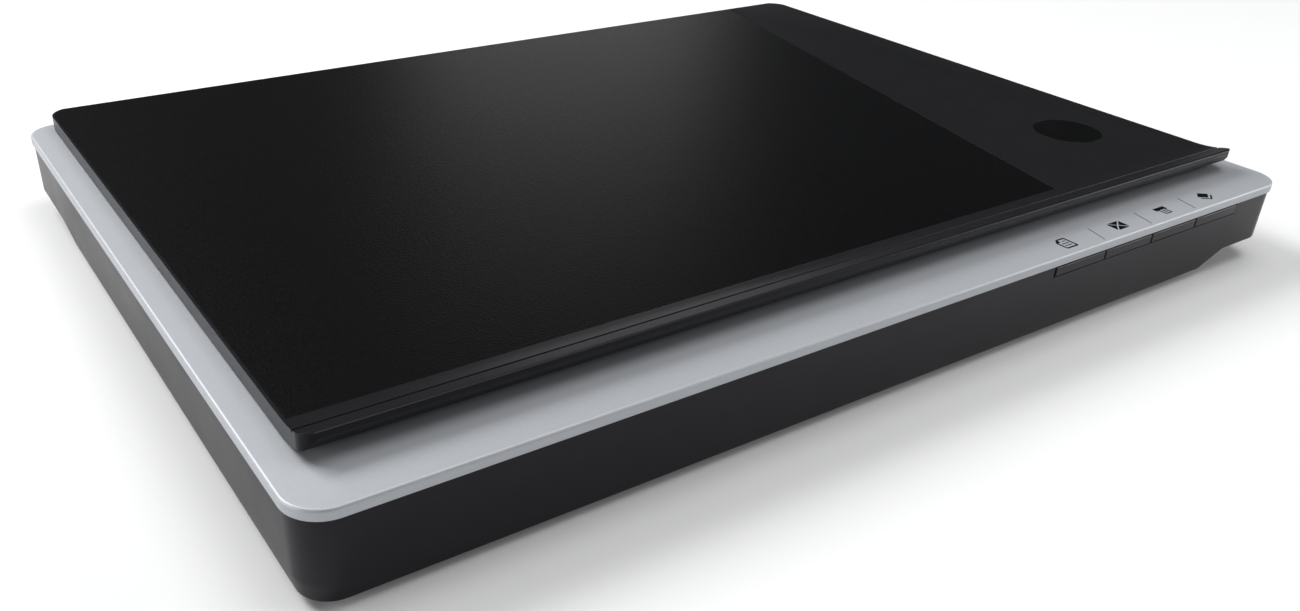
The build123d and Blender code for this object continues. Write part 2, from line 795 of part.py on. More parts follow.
def sensor_housing():
    """The contact image sensor's moulded bar."""
    bar = block(home_line - sensor_half, home_line + sensor_half, sensor_front, sensor_rear,
                sensor_low, sensor_high)
    bar -= block(home_line - window_half, home_line + window_half, sensor_front + 3, sensor_rear - 3,
                 sensor_high - 0.7, sensor_high + 1)
    bar -= block(lens_x - 0.9, lens_x + 0.9, sensor_front + 5, sensor_rear - 5,
                 sensor_low - 1, sensor_high)
    bar -= block(guide_x - 1.5, guide_x + 1.5, sensor_front + 5, sensor_rear - 5,
                 sensor_high - 4.5, sensor_high)
    bar -= block(home_line - 6.5, home_line + 6.5, sensor_front + 3, sensor_rear - 3,
                 sensor_low - 1, sensor_low + 1.6)
    return bar


def sensor_window():
    """The thin glass over the sensor bar."""
    return block(home_line - window_half + 0.1, home_line + window_half - 0.1,
                 sensor_front + 3.1, sensor_rear - 3.1, sensor_high - 0.7, sensor_high - 0.1)


def rod_lens():
    """The row of rod lenses, as one bar."""
    return block(lens_x - 0.8, lens_x + 0.8, sensor_front + 5.1, sensor_rear - 5.1,
                 sensor_low + 2.2, sensor_high - 1.2)


def light_guide():
    """The clear bar that spreads the lamp's light along the scan line."""
    return block(guide_x - 1.4, guide_x + 1.4, sensor_front + 5.1, sensor_rear - 5.1,
                 sensor_high - 4.5, sensor_high - 1.0)


def sensor_board():
    """The sensor chips' board, under the bar."""
    return block(home_line - 6.4, home_line + 6.4, sensor_front + 3.1, sensor_rear - 3.1,
                 sensor_low + 0.4, sensor_low + 1.6)


def glass_spacers():
    """Two slider pads that set the bar's distance from the glass."""
    high = glass_under - part_gap
    return group([block(home_line - 5, home_line + 5, y, y + 2.4, sensor_high, high)
                  for y in (sensor_front + 0.3, sensor_rear - 2.7)])


# ================================================================ lid
split_front_x = lid_width / 2 - 91.3       # textured panel's right end, along its front edge
split_rear_x = lid_width / 2 - 33.7        # and along its rear edge
panel_front = lid_front + 12.8
panel_margin = 0.8
panel_depth = 0.4
badge_x = lid_width / 2 - 34.5
badge_y = lid_front + 50.3
badge_radius = 13.2
lip_start = lid_front + 15.1
lip_bend = 20.0
lip_angle = 13.5
lip_under = lid_front + 14.1
groove_y = lid_front + 6.6                 # shadow line that runs along the lip
groove_half = 0.22
groove_depth = 0.35
lid_skin = lid_top - panel_depth - 0.6


def lid_section():
    """The lid's side profile: flat top, rising lip in front, rounded rear edge."""
    turn = math.radians(lip_angle)
    bend_y = lip_start - lip_bend * math.sin(turn)
    bend_z = lid_top + lip_bend * (1 - math.cos(turn))
    half_y = lip_start - lip_bend * math.sin(turn / 2)
    half_z = lid_top + lip_bend * (1 - math.cos(turn / 2))
    tip_z = lid_top + lip_rise
    tip_y = lid_front + 1.0
    nose = lid_bottom + 2.9
    climb = (tip_z - bend_z) / (tip_y - bend_y)
    groove = [(groove_y + side * groove_half,
               bend_z + climb * (groove_y + side * groove_half - bend_y) - (1 - abs(side)) * groove_depth)
              for side in (1, 0, -1)]
    with BuildLine(Plane.YZ) as outline:
        ThreePointArc((lip_start, lid_top), (half_y, half_z), (bend_y, bend_z))
        Polyline((bend_y, bend_z), *groove, (tip_y, tip_z))
        ThreePointArc((tip_y, tip_z), (lid_front + 0.25, tip_z - 0.2), (lid_front, tip_z - 0.9))
        Line((lid_front, tip_z - 0.9), (lid_front + 0.3, tip_z - 2.6))
        Line((lid_front + 0.3, tip_z - 2.6), (lid_front + 2.4, nose))
        ThreePointArc((lid_front + 2.4, nose), (lip_under - 5.5, lid_bottom + 1.0),
                      (lip_under, lid_bottom))
        Line((lip_under, lid_bottom), (lid_rear - 2.4, lid_bottom))
        RadiusArc((lid_rear - 2.4, lid_bottom), (lid_rear, lid_bottom + 2.4), -2.4)
        Line((lid_rear, lid_bottom + 2.4), (lid_rear, lid_top - 1.0))
        RadiusArc((lid_rear, lid_top - 1.0), (lid_rear - 1.0, lid_top), -1.0)
        Line((lid_rear - 1.0, lid_top), (lip_start, lid_top))
    return make_face(outline.line)


def panel_form(gap, z0, z1):
    """The textured panel's outline, drawn in by gap."""
    half = lid_width / 2 - panel_margin - gap
    plate = rounded_plate(-half, half, lid_front, lid_rear - 1.0 - gap,
                          lid_corner - panel_margin - gap, z0, z1)
    plate &= block(-half, half, panel_front + gap, lid_rear, z0, z1)
    lean = (split_rear_x - split_front_x) / (lid_rear - 1.0 - panel_front)
    far = 50.0
    edge = [(-half - 1, panel_front - far), (split_front_x - gap - lean * far, panel_front - far),
            (split_rear_x - gap + lean * far, lid_rear - 1.0 + far), (-half - 1, lid_rear - 1.0 + far)]
    return plate & prism_z(edge, z0, z1)


lid_screw_points = [(side * (lid_width / 2 - 19.7), y)
                    for y in (lid_front + 27.6, lid_rear - 19.7) for side in (-1, 1)]
arm_screw_points = [(x + dx, arm_front + 8) for x in hinge_points for dx in (-8.0, 8.0)]
liner_low = lid_bottom + 0.2
liner_high = liner_low + 1.4
arm_low = liner_high + 0.2
arm_high = arm_low + 1.2
cavity_top = lid_top - lid_wall


def lid_cover():
    """The lid's black outer moulding with its lip."""
    half = lid_width / 2
    cover = Pos(-half, 0, 0) * extrude(lid_section(), amount=lid_width, dir=(1, 0, 0))
    cover &= rounded_plate(-half, half, lid_front - lid_corner, lid_rear, lid_corner,
                           lid_bottom - 1, lid_top + lip_rise + 1)
    cover &= rounded_plate(-half, half, lid_front, lid_rear + lip_corner, lip_corner,
                           lid_bottom - 1, lid_top + lip_rise + 1)
    cover -= rounded_plate(-half + lid_wall, half - lid_wall, lip_under + 1.8, lid_rear - lid_wall,
                           lid_corner - lid_wall, lid_bottom - 1, cavity_top)
    for x, y in lid_screw_points:
        cover += upright(x, y, 3.0, liner_high, cavity_top + root_depth)
        cover -= upright(x, y, 1.25, liner_high - 1, cavity_top)
    for x, y in arm_screw_points:
        cover += upright(x, y, 2.8, arm_high, cavity_top + root_depth)
        cover -= upright(x, y, 1.25, arm_high - 1, cavity_top)
    for x in hinge_points:
        cover -= block(x - notch_half, x + notch_half, notch_front, lid_rear + 1,
                       lid_bottom - 1, lid_skin)
    cover -= panel_form(0, lid_top - panel_depth, lid_top + 1)
    cover -= upright(badge_x, badge_y, badge_radius + seat_gap, lid_top - panel_depth, lid_top + 1)
    return cover


def textured_panel():
    """The fine-grained panel let into the lid's top."""
    return panel_form(seat_gap, lid_top - panel_depth, lid_top)


def badge_disc():
    """The plain glossy disc on the lid."""
    return upright(badge_x, badge_y, badge_radius, lid_top - panel_depth, lid_top)


foam_margin = 1.2
sheet_thickness = 0.3
sheet_low = glass_top + part_gap


def lid_liner():
    """The plate that closes the lid's underside."""
    half = lid_width / 2 - lid_wall - part_gap
    liner = rounded_plate(-half, half, lip_under + 1.8 + part_gap, notch_front - 0.8,
                          lid_corner - lid_wall, liner_low, liner_high)
    for x, y in lid_screw_points:
        liner -= upright(x, y, 1.3, liner_low - 1, liner_high + 1)
        liner -= upright(x, y, 2.4, liner_low - 1, liner_low + 0.7)
    for x, y in arm_screw_points:
        liner -= upright(x, y, 2.4, liner_low - 1, liner_high + 1)
    return liner


def lid_foam():
    """The foam pad that presses the document down."""
    return block(window_left + foam_margin, window_right - foam_margin,
                 window_front + foam_margin, window_rear - foam_margin,
                 sheet_low + sheet_thickness, liner_low)


def lid_sheet():
    """The white backing sheet on the foam."""
    return block(window_left + foam_margin, window_right - foam_margin,
                 window_front + foam_margin, window_rear - foam_margin,
                 sheet_low, sheet_low + sheet_thickness)


def lid_screws():
    """Screws of the liner and of the two hinge arms."""
    screws = [screw(x, y, liner_low + 0.05, 2.2, liner_low + 0.7, 1.15, cavity_top - 0.2)
              for x, y in lid_screw_points]
    screws += [screw(x, y, arm_low - 1.2, 2.2, arm_low, 1.15, cavity_top - 0.2)
               for x, y in arm_screw_points]
    return group(screws)


def lid_bumpers():
    """Four soft pads between the lid and the bezel."""
    points = [(x, y) for x in (5.5 - lid_width / 2, lid_width / 2 - 9.7)
              for y in (lid_front + 33.6, lid_rear - 23.7)]
    return group([upright(x, y, 2.6, bezel_top + part_gap, liner_low) for x, y in points])


def hinge_arm(x):
    """A steel arm inside the lid, with an ear each side of the post's knuckle."""
    arm = block(x - 14, x + 14, arm_front, notch_front, arm_low, arm_high)
    for ear in (x - ear_end, x + ear_start):
        arm += block(ear, ear + ear_width, notch_front - 1, hinge_y, arm_low, arm_high)
        arm += along_x(hinge_y, hinge_z, knuckle_radius, ear, ear + ear_width)
    arm -= along_x(hinge_y, hinge_z, pin_radius + 0.02, x - ear_end - 1, x + ear_end + 1)
    for sx, sy in arm_screw_points:
        arm -= upright(sx, sy, 1.3, arm_low - 1, arm_high + 1)
    return arm


def hinge_pins():
    """The two hinge pins."""
    return group([along_x(hinge_y, hinge_z, pin_radius, x - ear_end, x + ear_end)
                  for x in hinge_points])


def hinge_post(x):
    """A post that slides up out of the tray, with the hinge's knuckle at its top."""
    half = post_half_width
    post = block(x - half, x + half, hinge_y - post_half_depth, hinge_y + post_half_depth,
                 post_low, hinge_z)
    post += along_x(hinge_y, hinge_z, knuckle_radius, x - half, x + half)
    return post - along_x(hinge_y, hinge_z, pin_radius + running_gap, x - half - 1, x + half + 1)


def board_screws():
    """Small screws of the control board and the motor's bracket, heads up."""
    seats = [(x, y, board_low + board_thickness) for x, y in board_points]
    seats += [(x, y, bracket_high) for x, y in bracket_posts]
    screws = []
    for x, y, seat in seats:
        body = upright(x, y, small_screw_radius, seat - 5, seat)
        body += upright(x, y, 2.0, seat, seat + 1.3)
        body -= block(x - 1.2, x + 1.2, y - 0.25, y + 0.25, seat + 0.7, seat + 2)
        body -= block(x - 0.25, x + 0.25, y - 1.2, y + 1.2, seat + 0.7, seat + 2)
        screws.append(body)
    return group(screws)


# ================================================================ writing the nodes
makers = [base_shell, top_bezel, glass_platen, glass_tape, calibration_strip, rubber_feet,
          case_screws, main_board, board_components, usb_port, button_board, tact_switches,
          flex_cable, drive_pulley, drive_gear, idler_pulley, reduction_gear, motor_pinion,
          motor_can, motor_bracket, gear_axles, belt_tensioner, tensioner_spring, timing_belt,
          guide_shaft, shaft_clips, scan_carriage, shaft_bushes, belt_clamp, rear_glide,
          sensor_springs, sensor_housing, sensor_window, rod_lens, light_guide, sensor_board,
          glass_spacers, lid_cover, textured_panel, badge_disc, lid_liner, lid_foam, lid_sheet,
          lid_screws, lid_bumpers, hinge_pins, board_screws]
key_names = ["document_key", "mail_key", "copy_key", "photo_key"]

os.makedirs("parts", exist_ok=True)
for maker in makers:
    save(maker(), maker.__name__)
for place, name in enumerate(key_names):
    save(key(place), name)
for side, place in zip(("left", "right"), hinge_points):
    save(hinge_arm(place), "hinge_arm_" + side)
    save(hinge_post(place), "hinge_post_" + side)
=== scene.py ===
"""Looks of the flatbed scanner: its mouldings, finishes, printed marks, light and camera.

Metres, in the part's own frame: X along the front, Y from the keys to the hinges, Z up.
"""

import math

import bmesh
import bpy
from mathutils import Euler, Matrix, Vector


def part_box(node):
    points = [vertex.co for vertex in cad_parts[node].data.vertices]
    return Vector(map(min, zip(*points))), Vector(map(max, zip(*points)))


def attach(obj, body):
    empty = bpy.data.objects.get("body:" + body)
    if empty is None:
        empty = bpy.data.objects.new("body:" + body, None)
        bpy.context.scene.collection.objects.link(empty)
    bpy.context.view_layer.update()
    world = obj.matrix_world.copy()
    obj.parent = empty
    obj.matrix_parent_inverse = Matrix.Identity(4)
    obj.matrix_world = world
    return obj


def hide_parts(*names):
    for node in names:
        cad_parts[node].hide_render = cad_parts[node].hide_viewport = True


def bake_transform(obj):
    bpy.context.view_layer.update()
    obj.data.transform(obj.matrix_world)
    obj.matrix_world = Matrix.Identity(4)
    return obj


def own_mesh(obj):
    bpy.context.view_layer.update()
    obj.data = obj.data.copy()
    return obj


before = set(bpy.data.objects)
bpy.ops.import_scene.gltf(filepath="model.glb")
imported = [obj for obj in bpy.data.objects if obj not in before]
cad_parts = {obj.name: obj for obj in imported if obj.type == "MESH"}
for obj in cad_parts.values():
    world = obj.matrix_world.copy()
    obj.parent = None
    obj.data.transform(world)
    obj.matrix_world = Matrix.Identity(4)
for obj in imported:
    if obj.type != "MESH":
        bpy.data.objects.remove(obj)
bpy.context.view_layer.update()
MM = 0.001

# ---------------------------------------------------------------- places on the object
bezel_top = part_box("top_bezel")[1].z
lid_low, lid_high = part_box("lid_cover")
panel_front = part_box("textured_panel")[0].y
port_low, port_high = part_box("usb_port")
ribbon_low, ribbon_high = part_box("flex_cable")
board_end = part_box("main_board")[0].x
carriage_low, carriage_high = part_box("scan_carriage")
home_line = (carriage_low.x + carriage_high.x) / 2


# ================================================================ mesh helpers
def ease_edges(piece, width, segments=2):
    """Round every hard edge of a piece, as a mould or a trimming tool leaves it."""
    bevel = piece.modifiers.new("eased edges", "BEVEL")
    bevel.width = width
    bevel.segments = segments
    bevel.limit_method = "ANGLE"
    bevel.angle_limit = math.radians(40)
    bevel.miter_outer = "MITER_ARC"
    bevel.harden_normals = True


def finished(name, bm, body, finish, replaces=(), edge=0.0, segments=2):
    """Turn a bmesh into a piece that wears a finish and, unless body is None, rides on a body."""
    for face in bm.faces:
        face.smooth = True
    for edge_line in bm.edges:
        edge_line.smooth = edge_line.calc_face_angle(0.0) < math.radians(35)
    mesh = bpy.data.meshes.new(name)
    bm.to_mesh(mesh)
    bm.free()
    piece = bpy.data.objects.new(name, mesh)
    bpy.context.scene.collection.objects.link(piece)
    mesh.materials.append(finish)
    if edge:
        ease_edges(piece, edge, segments)
    if body:
        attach(piece, body)
    if replaces:
        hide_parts(*replaces)
    return piece


def skin_of(node):
    """A node's own shape as one skin."""
    bm = bmesh.new()
    bm.from_mesh(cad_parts[node].data)
    bmesh.ops.remove_doubles(bm, verts=bm.verts, dist=0.000001)
    bmesh.ops.dissolve_limit(bm, angle_limit=math.radians(0.6), verts=bm.verts, edges=bm.edges)
    return bm


def moulded_copy(name, node, body, finish, edge):
    """A node's own shape, with its edges eased."""
    return finished(name, skin_of(node), body, finish, (node,), edge)


def slab(low, high):
    """A box between two corners."""
    bm = bmesh.new()
    bmesh.ops.create_cube(bm, size=1.0)
    size = high - low
    bmesh.ops.scale(bm, vec=size, verts=bm.verts)
    bmesh.ops.translate(bm, vec=(low + high) / 2, verts=bm.verts)
    return bm


def round_corners(bm, radius):
    """Round the upright corners of a slab in plan."""
    edges = []
    for edge in bm.edges:
        start, end = (vert.co for vert in edge.verts)
        if (start.xy - end.xy).length < 1e-7:
            edges.append(edge)
    bmesh.ops.bevel(bm, geom=edges, offset=radius, offset_type="OFFSET", affect="EDGES",
                    segments=6, profile=0.5, material=-1)


def merged(pieces_of_mesh):
    """Several bmeshes as one."""
    whole = bmesh.new()
    for bm in pieces_of_mesh:
        part = bpy.data.meshes.new("part")
        bm.to_mesh(part)
        bm.free()
        whole.from_mesh(part)
        bpy.data.meshes.remove(part)
    return whole


def turned(profile, x, y, steps=48):
    """A round piece: its (radius, height) outline in millimetres, turned about an upright axis."""
    bm = bmesh.new()
    verts = [bm.verts.new(Vector((radius, 0, height)) * MM) for radius, height in profile]
    edges = [bm.edges.new(pair) for pair in zip(verts, verts[1:])]
    bmesh.ops.spin(bm, geom=verts + edges, cent=(0, 0, 0), axis=(0, 0, 1), angle=math.tau,
                   steps=steps, use_merge=True, use_duplicate=False)
    bmesh.ops.remove_doubles(bm, verts=bm.verts, dist=1e-6)
    bmesh.ops.recalc_face_normals(bm, faces=bm.faces)
    bmesh.ops.translate(bm, vec=(x, y, 0), verts=bm.verts)
    return bm


def plate_of(corners, low, high):
    """A flat plate with straight sides, from its corners in plan."""
    bm = bmesh.new()
    face = bm.faces.new([bm.verts.new((x, y, low)) for x, y in corners])
    bmesh.ops.recalc_face_normals(bm, faces=[face])
    raised = bmesh.ops.extrude_face_region(bm, geom=[face])
    verts = [item for item in raised["geom"] if isinstance(item, bmesh.types.BMVert)]
    bmesh.ops.translate(bm, vec=(0, 0, high - low), verts=verts)
    bmesh.ops.recalc_face_normals(bm, faces=bm.faces)
    return bm


def stroke(start, end, width, low, high):
    """A printed line between two points in plan."""
    start, end = Vector(start), Vector(end)
    side = Vector((start.y - end.y, end.x - start.x)).normalized() * width / 2
    return plate_of([start + side, start - side, end - side, end + side], low, high)


def strip(path, y_low, y_high, thickness):
    """A flexible flat strip: a path of (x, z) points, drawn across in Y."""
    bm = bmesh.new()
    verts = [bm.verts.new((x, y_low, z)) for x, z in path]
    edges = [bm.edges.new(pair) for pair in zip(verts, verts[1:])]
    across = bmesh.ops.extrude_edge_only(bm, edges=edges)
    moved = [item for item in across["geom"] if isinstance(item, bmesh.types.BMVert)]
    bmesh.ops.translate(bm, vec=(0, y_high - y_low, 0), verts=moved)
    bmesh.ops.recalc_face_normals(bm, faces=bm.faces)
    bmesh.ops.solidify(bm, geom=bm.faces[:], thickness=thickness)
    bmesh.ops.recalc_face_normals(bm, faces=bm.faces)
    return bm


# ================================================================ finishes
def new_finish(name):
    """An empty finish with its shader and the piece's own coordinates."""
    finish = bpy.data.materials.new(name)
    finish.use_nodes = True
    nodes, links = finish.node_tree.nodes, finish.node_tree.links
    shader = nodes["Principled BSDF"]
    place = nodes.new("ShaderNodeTexCoord").outputs["Object"]
    return finish, nodes, links, shader, place


def noise(nodes, links, place, size, detail=3.0):
    """Noise whose blotches are about size across."""
    texture = nodes.new("ShaderNodeTexNoise")
    texture.inputs["Scale"].default_value = 1 / size
    texture.inputs["Detail"].default_value = detail
    texture.inputs["Roughness"].default_value = 0.55
    links.new(place, texture.inputs["Vector"])
    return texture.outputs["Fac"]


def spread(nodes, links, value, low, high):
    """Map a pattern from its middle range to low..high."""
    step = nodes.new("ShaderNodeMapRange")
    step.inputs["From Min"].default_value = 0.3
    step.inputs["From Max"].default_value = 0.7
    step.inputs["To Min"].default_value = low
    step.inputs["To Max"].default_value = high
    links.new(value, step.inputs["Value"])
    return step.outputs["Result"]


def tint(nodes, links, value, dark, light):
    """Blend two colours by a pattern."""
    ramp = nodes.new("ShaderNodeValToRGB")
    ramp.color_ramp.elements[0].position = 0.35
    ramp.color_ramp.elements[1].position = 0.65
    ramp.color_ramp.elements[0].color = (*dark, 1)
    ramp.color_ramp.elements[1].color = (*light, 1)
    links.new(value, ramp.inputs["Fac"])
    return ramp.outputs["Color"]


def relief(nodes, links, shader, height, depth):
    """Raise a pattern on the surface, depth metres high."""
    bump = nodes.new("ShaderNodeBump")
    bump.inputs["Strength"].default_value = 1.0
    bump.inputs["Distance"].default_value = depth
    links.new(height, bump.inputs["Height"])
    links.new(bump.outputs["Normal"], shader.inputs["Normal"])


def moulded_plastic(name, dark, light, gloss_low, gloss_high, grain_size, grain_depth,
                    specular=0.5):
    """Moulded plastic: a faint mottle, uneven gloss and a spark-eroded grain."""
    finish, nodes, links, shader, place = new_finish(name)
    links.new(tint(nodes, links, noise(nodes, links, place, 0.012), dark, light),
              shader.inputs["Base Color"])
    links.new(spread(nodes, links, noise(nodes, links, place, 0.03, 5.0), gloss_low, gloss_high),
              shader.inputs["Roughness"])
    shader.inputs["Specular IOR Level"].default_value = specular
    shader.inputs["Specular Tint"].default_value = (0.92, 0.90, 1.0, 1)
    relief(nodes, links, shader, noise(nodes, links, place, grain_size, 2.0), grain_depth)
    return finish


def painted_silver():
    """Silver paint: bright flakes in a satin lacquer."""
    finish, nodes, links, shader, place = new_finish("silver paint")
    flakes = nodes.new("ShaderNodeTexVoronoi")
    flakes.inputs["Scale"].default_value = 4500
    links.new(place, flakes.inputs["Vector"])
    links.new(tint(nodes, links, flakes.outputs["Distance"], (0.395, 0.410, 0.435),
                   (0.435, 0.450, 0.475)), shader.inputs["Base Color"])
    links.new(spread(nodes, links, noise(nodes, links, place, 0.02, 4.0), 0.48, 0.50),
              shader.inputs["Roughness"])
    shader.inputs["Metallic"].default_value = 0.3
    relief(nodes, links, shader, flakes.outputs["Distance"], 0.000005)
    return finish


def grained_black():
    """Fine pebbled black of the lid's large panel."""
    finish, nodes, links, shader, place = new_finish("grained black")
    pebbles = nodes.new("ShaderNodeTexVoronoi")
    pebbles.feature = "SMOOTH_F1"
    pebbles.inputs["Scale"].default_value = 1500
    pebbles.inputs["Smoothness"].default_value = 0.6
    links.new(place, pebbles.inputs["Vector"])
    links.new(tint(nodes, links, noise(nodes, links, place, 0.0009, 4.0), (0.0010, 0.0010, 0.0011),
                   (0.0030, 0.0030, 0.0033)), shader.inputs["Base Color"])
    shader.inputs["Specular IOR Level"].default_value = 0.09
    shader.inputs["Specular Tint"].default_value = (0.95, 0.94, 1.0, 1)
    links.new(spread(nodes, links, noise(nodes, links, place, 0.0015, 3.0), 0.35, 0.41),
              shader.inputs["Roughness"])
    relief(nodes, links, shader, pebbles.outputs["Distance"], 0.00006)
    return finish


def clear_pane(name, dark, light, alpha, gloss=0.03):
    """A thin clear pane with a faint tint and wiping marks in its gloss."""
    finish, nodes, links, shader, place = new_finish(name)
    smear = noise(nodes, links, place, 0.02, 5.0)
    links.new(tint(nodes, links, smear, dark, light), shader.inputs["Base Color"])
    links.new(spread(nodes, links, smear, gloss, gloss * 2), shader.inputs["Roughness"])
    shader.inputs["Alpha"].default_value = alpha
    shader.inputs["Specular IOR Level"].default_value = 1.0
    return finish


def circuit_board():
    """Green solder mask over copper tracks, with tinned pads."""
    finish, nodes, links, shader, place = new_finish("circuit board")
    tracks = nodes.new("ShaderNodeTexBrick")
    tracks.inputs["Scale"].default_value = 1.0
    tracks.inputs["Brick Width"].default_value = 0.0065
    tracks.inputs["Row Height"].default_value = 0.0013
    tracks.inputs["Mortar Size"].default_value = 0.00016
    tracks.inputs["Color1"].default_value = (0.006, 0.070, 0.022, 1)
    tracks.inputs["Color2"].default_value = (0.004, 0.055, 0.018, 1)
    tracks.inputs["Mortar"].default_value = (0.020, 0.150, 0.050, 1)
    links.new(place, tracks.inputs["Vector"])
    pads = nodes.new("ShaderNodeTexVoronoi")
    pads.inputs["Scale"].default_value = 280
    links.new(place, pads.inputs["Vector"])
    inside = nodes.new("ShaderNodeMath")
    inside.operation = "LESS_THAN"
    inside.inputs[1].default_value = 0.16
    links.new(pads.outputs["Distance"], inside.inputs[0])
    mix = nodes.new("ShaderNodeMix")
    mix.data_type = "RGBA"
    mix.inputs["B"].default_value = (0.55, 0.55, 0.52, 1)
    links.new(inside.outputs[0], mix.inputs["Factor"])
    links.new(tracks.outputs["Color"], mix.inputs["A"])
    links.new(mix.outputs["Result"], shader.inputs["Base Color"])
    links.new(spread(nodes, links, noise(nodes, links, place, 0.004), 0.28, 0.42),
              shader.inputs["Roughness"])
    relief(nodes, links, shader, tracks.outputs["Fac"], 0.00003)
    return finish


def striped(name, axis, pitch, dark, light, gloss, depth):
    """Even ribs or conductors, one every pitch along an axis."""
    finish, nodes, links, shader, place = new_finish(name)
    ribs = nodes.new("ShaderNodeTexWave")
    ribs.bands_direction = axis
    ribs.inputs["Scale"].default_value = math.tau / (20 * pitch)
    links.new(place, ribs.inputs["Vector"])
    links.new(tint(nodes, links, ribs.outputs["Fac"], dark, light), shader.inputs["Base Color"])
    links.new(spread(nodes, links, noise(nodes, links, place, 0.004), gloss, gloss + 0.08),
              shader.inputs["Roughness"])
    relief(nodes, links, shader, ribs.outputs["Fac"], depth)
    return finish


def open_foam():
    """White foam: small open cells."""
    finish, nodes, links, shader, place = new_finish("foam white")
    cells = nodes.new("ShaderNodeTexVoronoi")
    cells.inputs["Scale"].default_value = 1400
    links.new(place, cells.inputs["Vector"])
    links.new(tint(nodes, links, cells.outputs["Distance"], (0.78, 0.78, 0.76), (0.60, 0.60, 0.58)),
              shader.inputs["Base Color"])
    links.new(spread(nodes, links, noise(nodes, links, place, 0.003), 0.85, 0.95),
              shader.inputs["Roughness"])
    shader.inputs["Sheen Weight"].default_value = 0.2
    relief(nodes, links, shader, cells.outputs["Distance"], 0.0004)
    return finish


def worked_metal(name, dark, light, gloss_low, gloss_high, along=(1, 1, 1), depth=0.00001):
    """Metal with fine marks, drawn out along the axes whose scale is small."""
    finish, nodes, links, shader, place = new_finish(name)
    stretch = nodes.new("ShaderNodeMapping")
    stretch.inputs["Scale"].default_value = along
    links.new(place, stretch.inputs["Vector"])
    marks = noise(nodes, links, stretch.outputs["Vector"], 0.0006, 4.0)
    links.new(tint(nodes, links, noise(nodes, links, place, 0.006), dark, light),
              shader.inputs["Base Color"])
    links.new(spread(nodes, links, marks, gloss_low, gloss_high), shader.inputs["Roughness"])
    shader.inputs["Metallic"].default_value = 1.0
    relief(nodes, links, shader, marks, depth)
    return finish


satin_black = moulded_plastic("satin black", (0.0080, 0.0080, 0.0090), (0.0092, 0.0092, 0.0104),
                              0.36, 0.38, 0.0004, 0.000004, specular=0.16)
tray_black = moulded_plastic("tray black", (0.002, 0.002, 0.003), (0.003, 0.003, 0.0045),
                             0.34, 0.40, 0.0006, 0.00002, specular=0.22)
key_black = moulded_plastic("key black", (0.003, 0.003, 0.004), (0.004, 0.004, 0.0055),
                            0.28, 0.34, 0.0005, 0.00001, specular=0.22)
gloss_black = moulded_plastic("gloss black", (0.002, 0.002, 0.002), (0.003, 0.003, 0.003),
                              0.12, 0.16, 0.002, 0.000002, specular=0.05)
frame_black = moulded_plastic("frame black", (0.010, 0.010, 0.011), (0.016, 0.016, 0.017),
                              0.45, 0.58, 0.0007, 0.00004)
chip_black = moulded_plastic("chip black", (0.012, 0.012, 0.013), (0.020, 0.020, 0.021),
                             0.50, 0.62, 0.0002, 0.00002)
tape_black = moulded_plastic("tape black", (0.008, 0.008, 0.008), (0.012, 0.012, 0.012),
                             0.30, 0.42, 0.0015, 0.00001)
rubber = moulded_plastic("rubber", (0.012, 0.012, 0.012), (0.020, 0.020, 0.020),
                         0.72, 0.85, 0.0003, 0.00006, specular=0.3)
acetal = moulded_plastic("acetal", (0.62, 0.61, 0.57), (0.72, 0.71, 0.67),
                         0.34, 0.44, 0.0008, 0.00001)
liner_white = moulded_plastic("liner white", (0.68, 0.68, 0.67), (0.705, 0.705, 0.695),
                              0.45, 0.55, 0.0005, 0.00003)
strip_white = moulded_plastic("strip white", (0.81, 0.81, 0.80), (0.83, 0.83, 0.82),
                              0.60, 0.70, 0.0003, 0.00001)
light_acrylic = clear_pane("clear acrylic", (0.70, 0.78, 0.78), (0.80, 0.86, 0.86), 0.45, 0.08)
platen_clear = clear_pane("platen glass", (0.010, 0.022, 0.018), (0.014, 0.028, 0.022), 0.22)
sensor_clear = clear_pane("sensor glass", (0.020, 0.026, 0.026), (0.026, 0.034, 0.034), 0.35)
zinc_steel = worked_metal("zinc-plated steel", (0.50, 0.50, 0.50), (0.62, 0.62, 0.60), 0.28, 0.42)
polished_steel = worked_metal("polished steel", (0.60, 0.60, 0.61), (0.68, 0.68, 0.69), 0.10, 0.20,
                              along=(0.05, 1, 1))
motor_steel = worked_metal("motor steel", (0.44, 0.44, 0.45), (0.54, 0.54, 0.55), 0.30, 0.44,
                           along=(1, 1, 0.1))
spring_steel = worked_metal("spring steel", (0.38, 0.37, 0.35), (0.48, 0.47, 0.45), 0.22, 0.34)
tinned_metal = worked_metal("tinned shell", (0.60, 0.60, 0.58), (0.70, 0.70, 0.68), 0.22, 0.36)
gold_plate = worked_metal("gold plate", (0.75, 0.52, 0.20), (0.84, 0.60, 0.26), 0.18, 0.30)
brass = worked_metal("brass", (0.62, 0.46, 0.18), (0.72, 0.54, 0.24), 0.22, 0.34)
bronze = worked_metal("sintered bronze", (0.34, 0.20, 0.09), (0.46, 0.29, 0.14), 0.42, 0.58,
                      depth=0.00004)
# On the toothed belt the grooves between the teeth are painted darker than the tooth tops,
# following the relief: painted shade.
belt_rubber = striped("toothed belt", "X", 0.002, (0.008, 0.008, 0.008), (0.016, 0.016, 0.016),
                      0.62, 0.0003)
ribbon_white = striped("ribbon conductors", "Y", 0.001, (0.46, 0.48, 0.50), (0.78, 0.79, 0.80),
                       0.34, 0.00005)
ink = moulded_plastic("printing ink", (0.001, 0.001, 0.0015), (0.002, 0.002, 0.003),
                      0.45, 0.60, 0.0004, 0.000004, specular=0.1)
silver = painted_silver()
grained = grained_black()
board_green = circuit_board()
foam_white = open_foam()


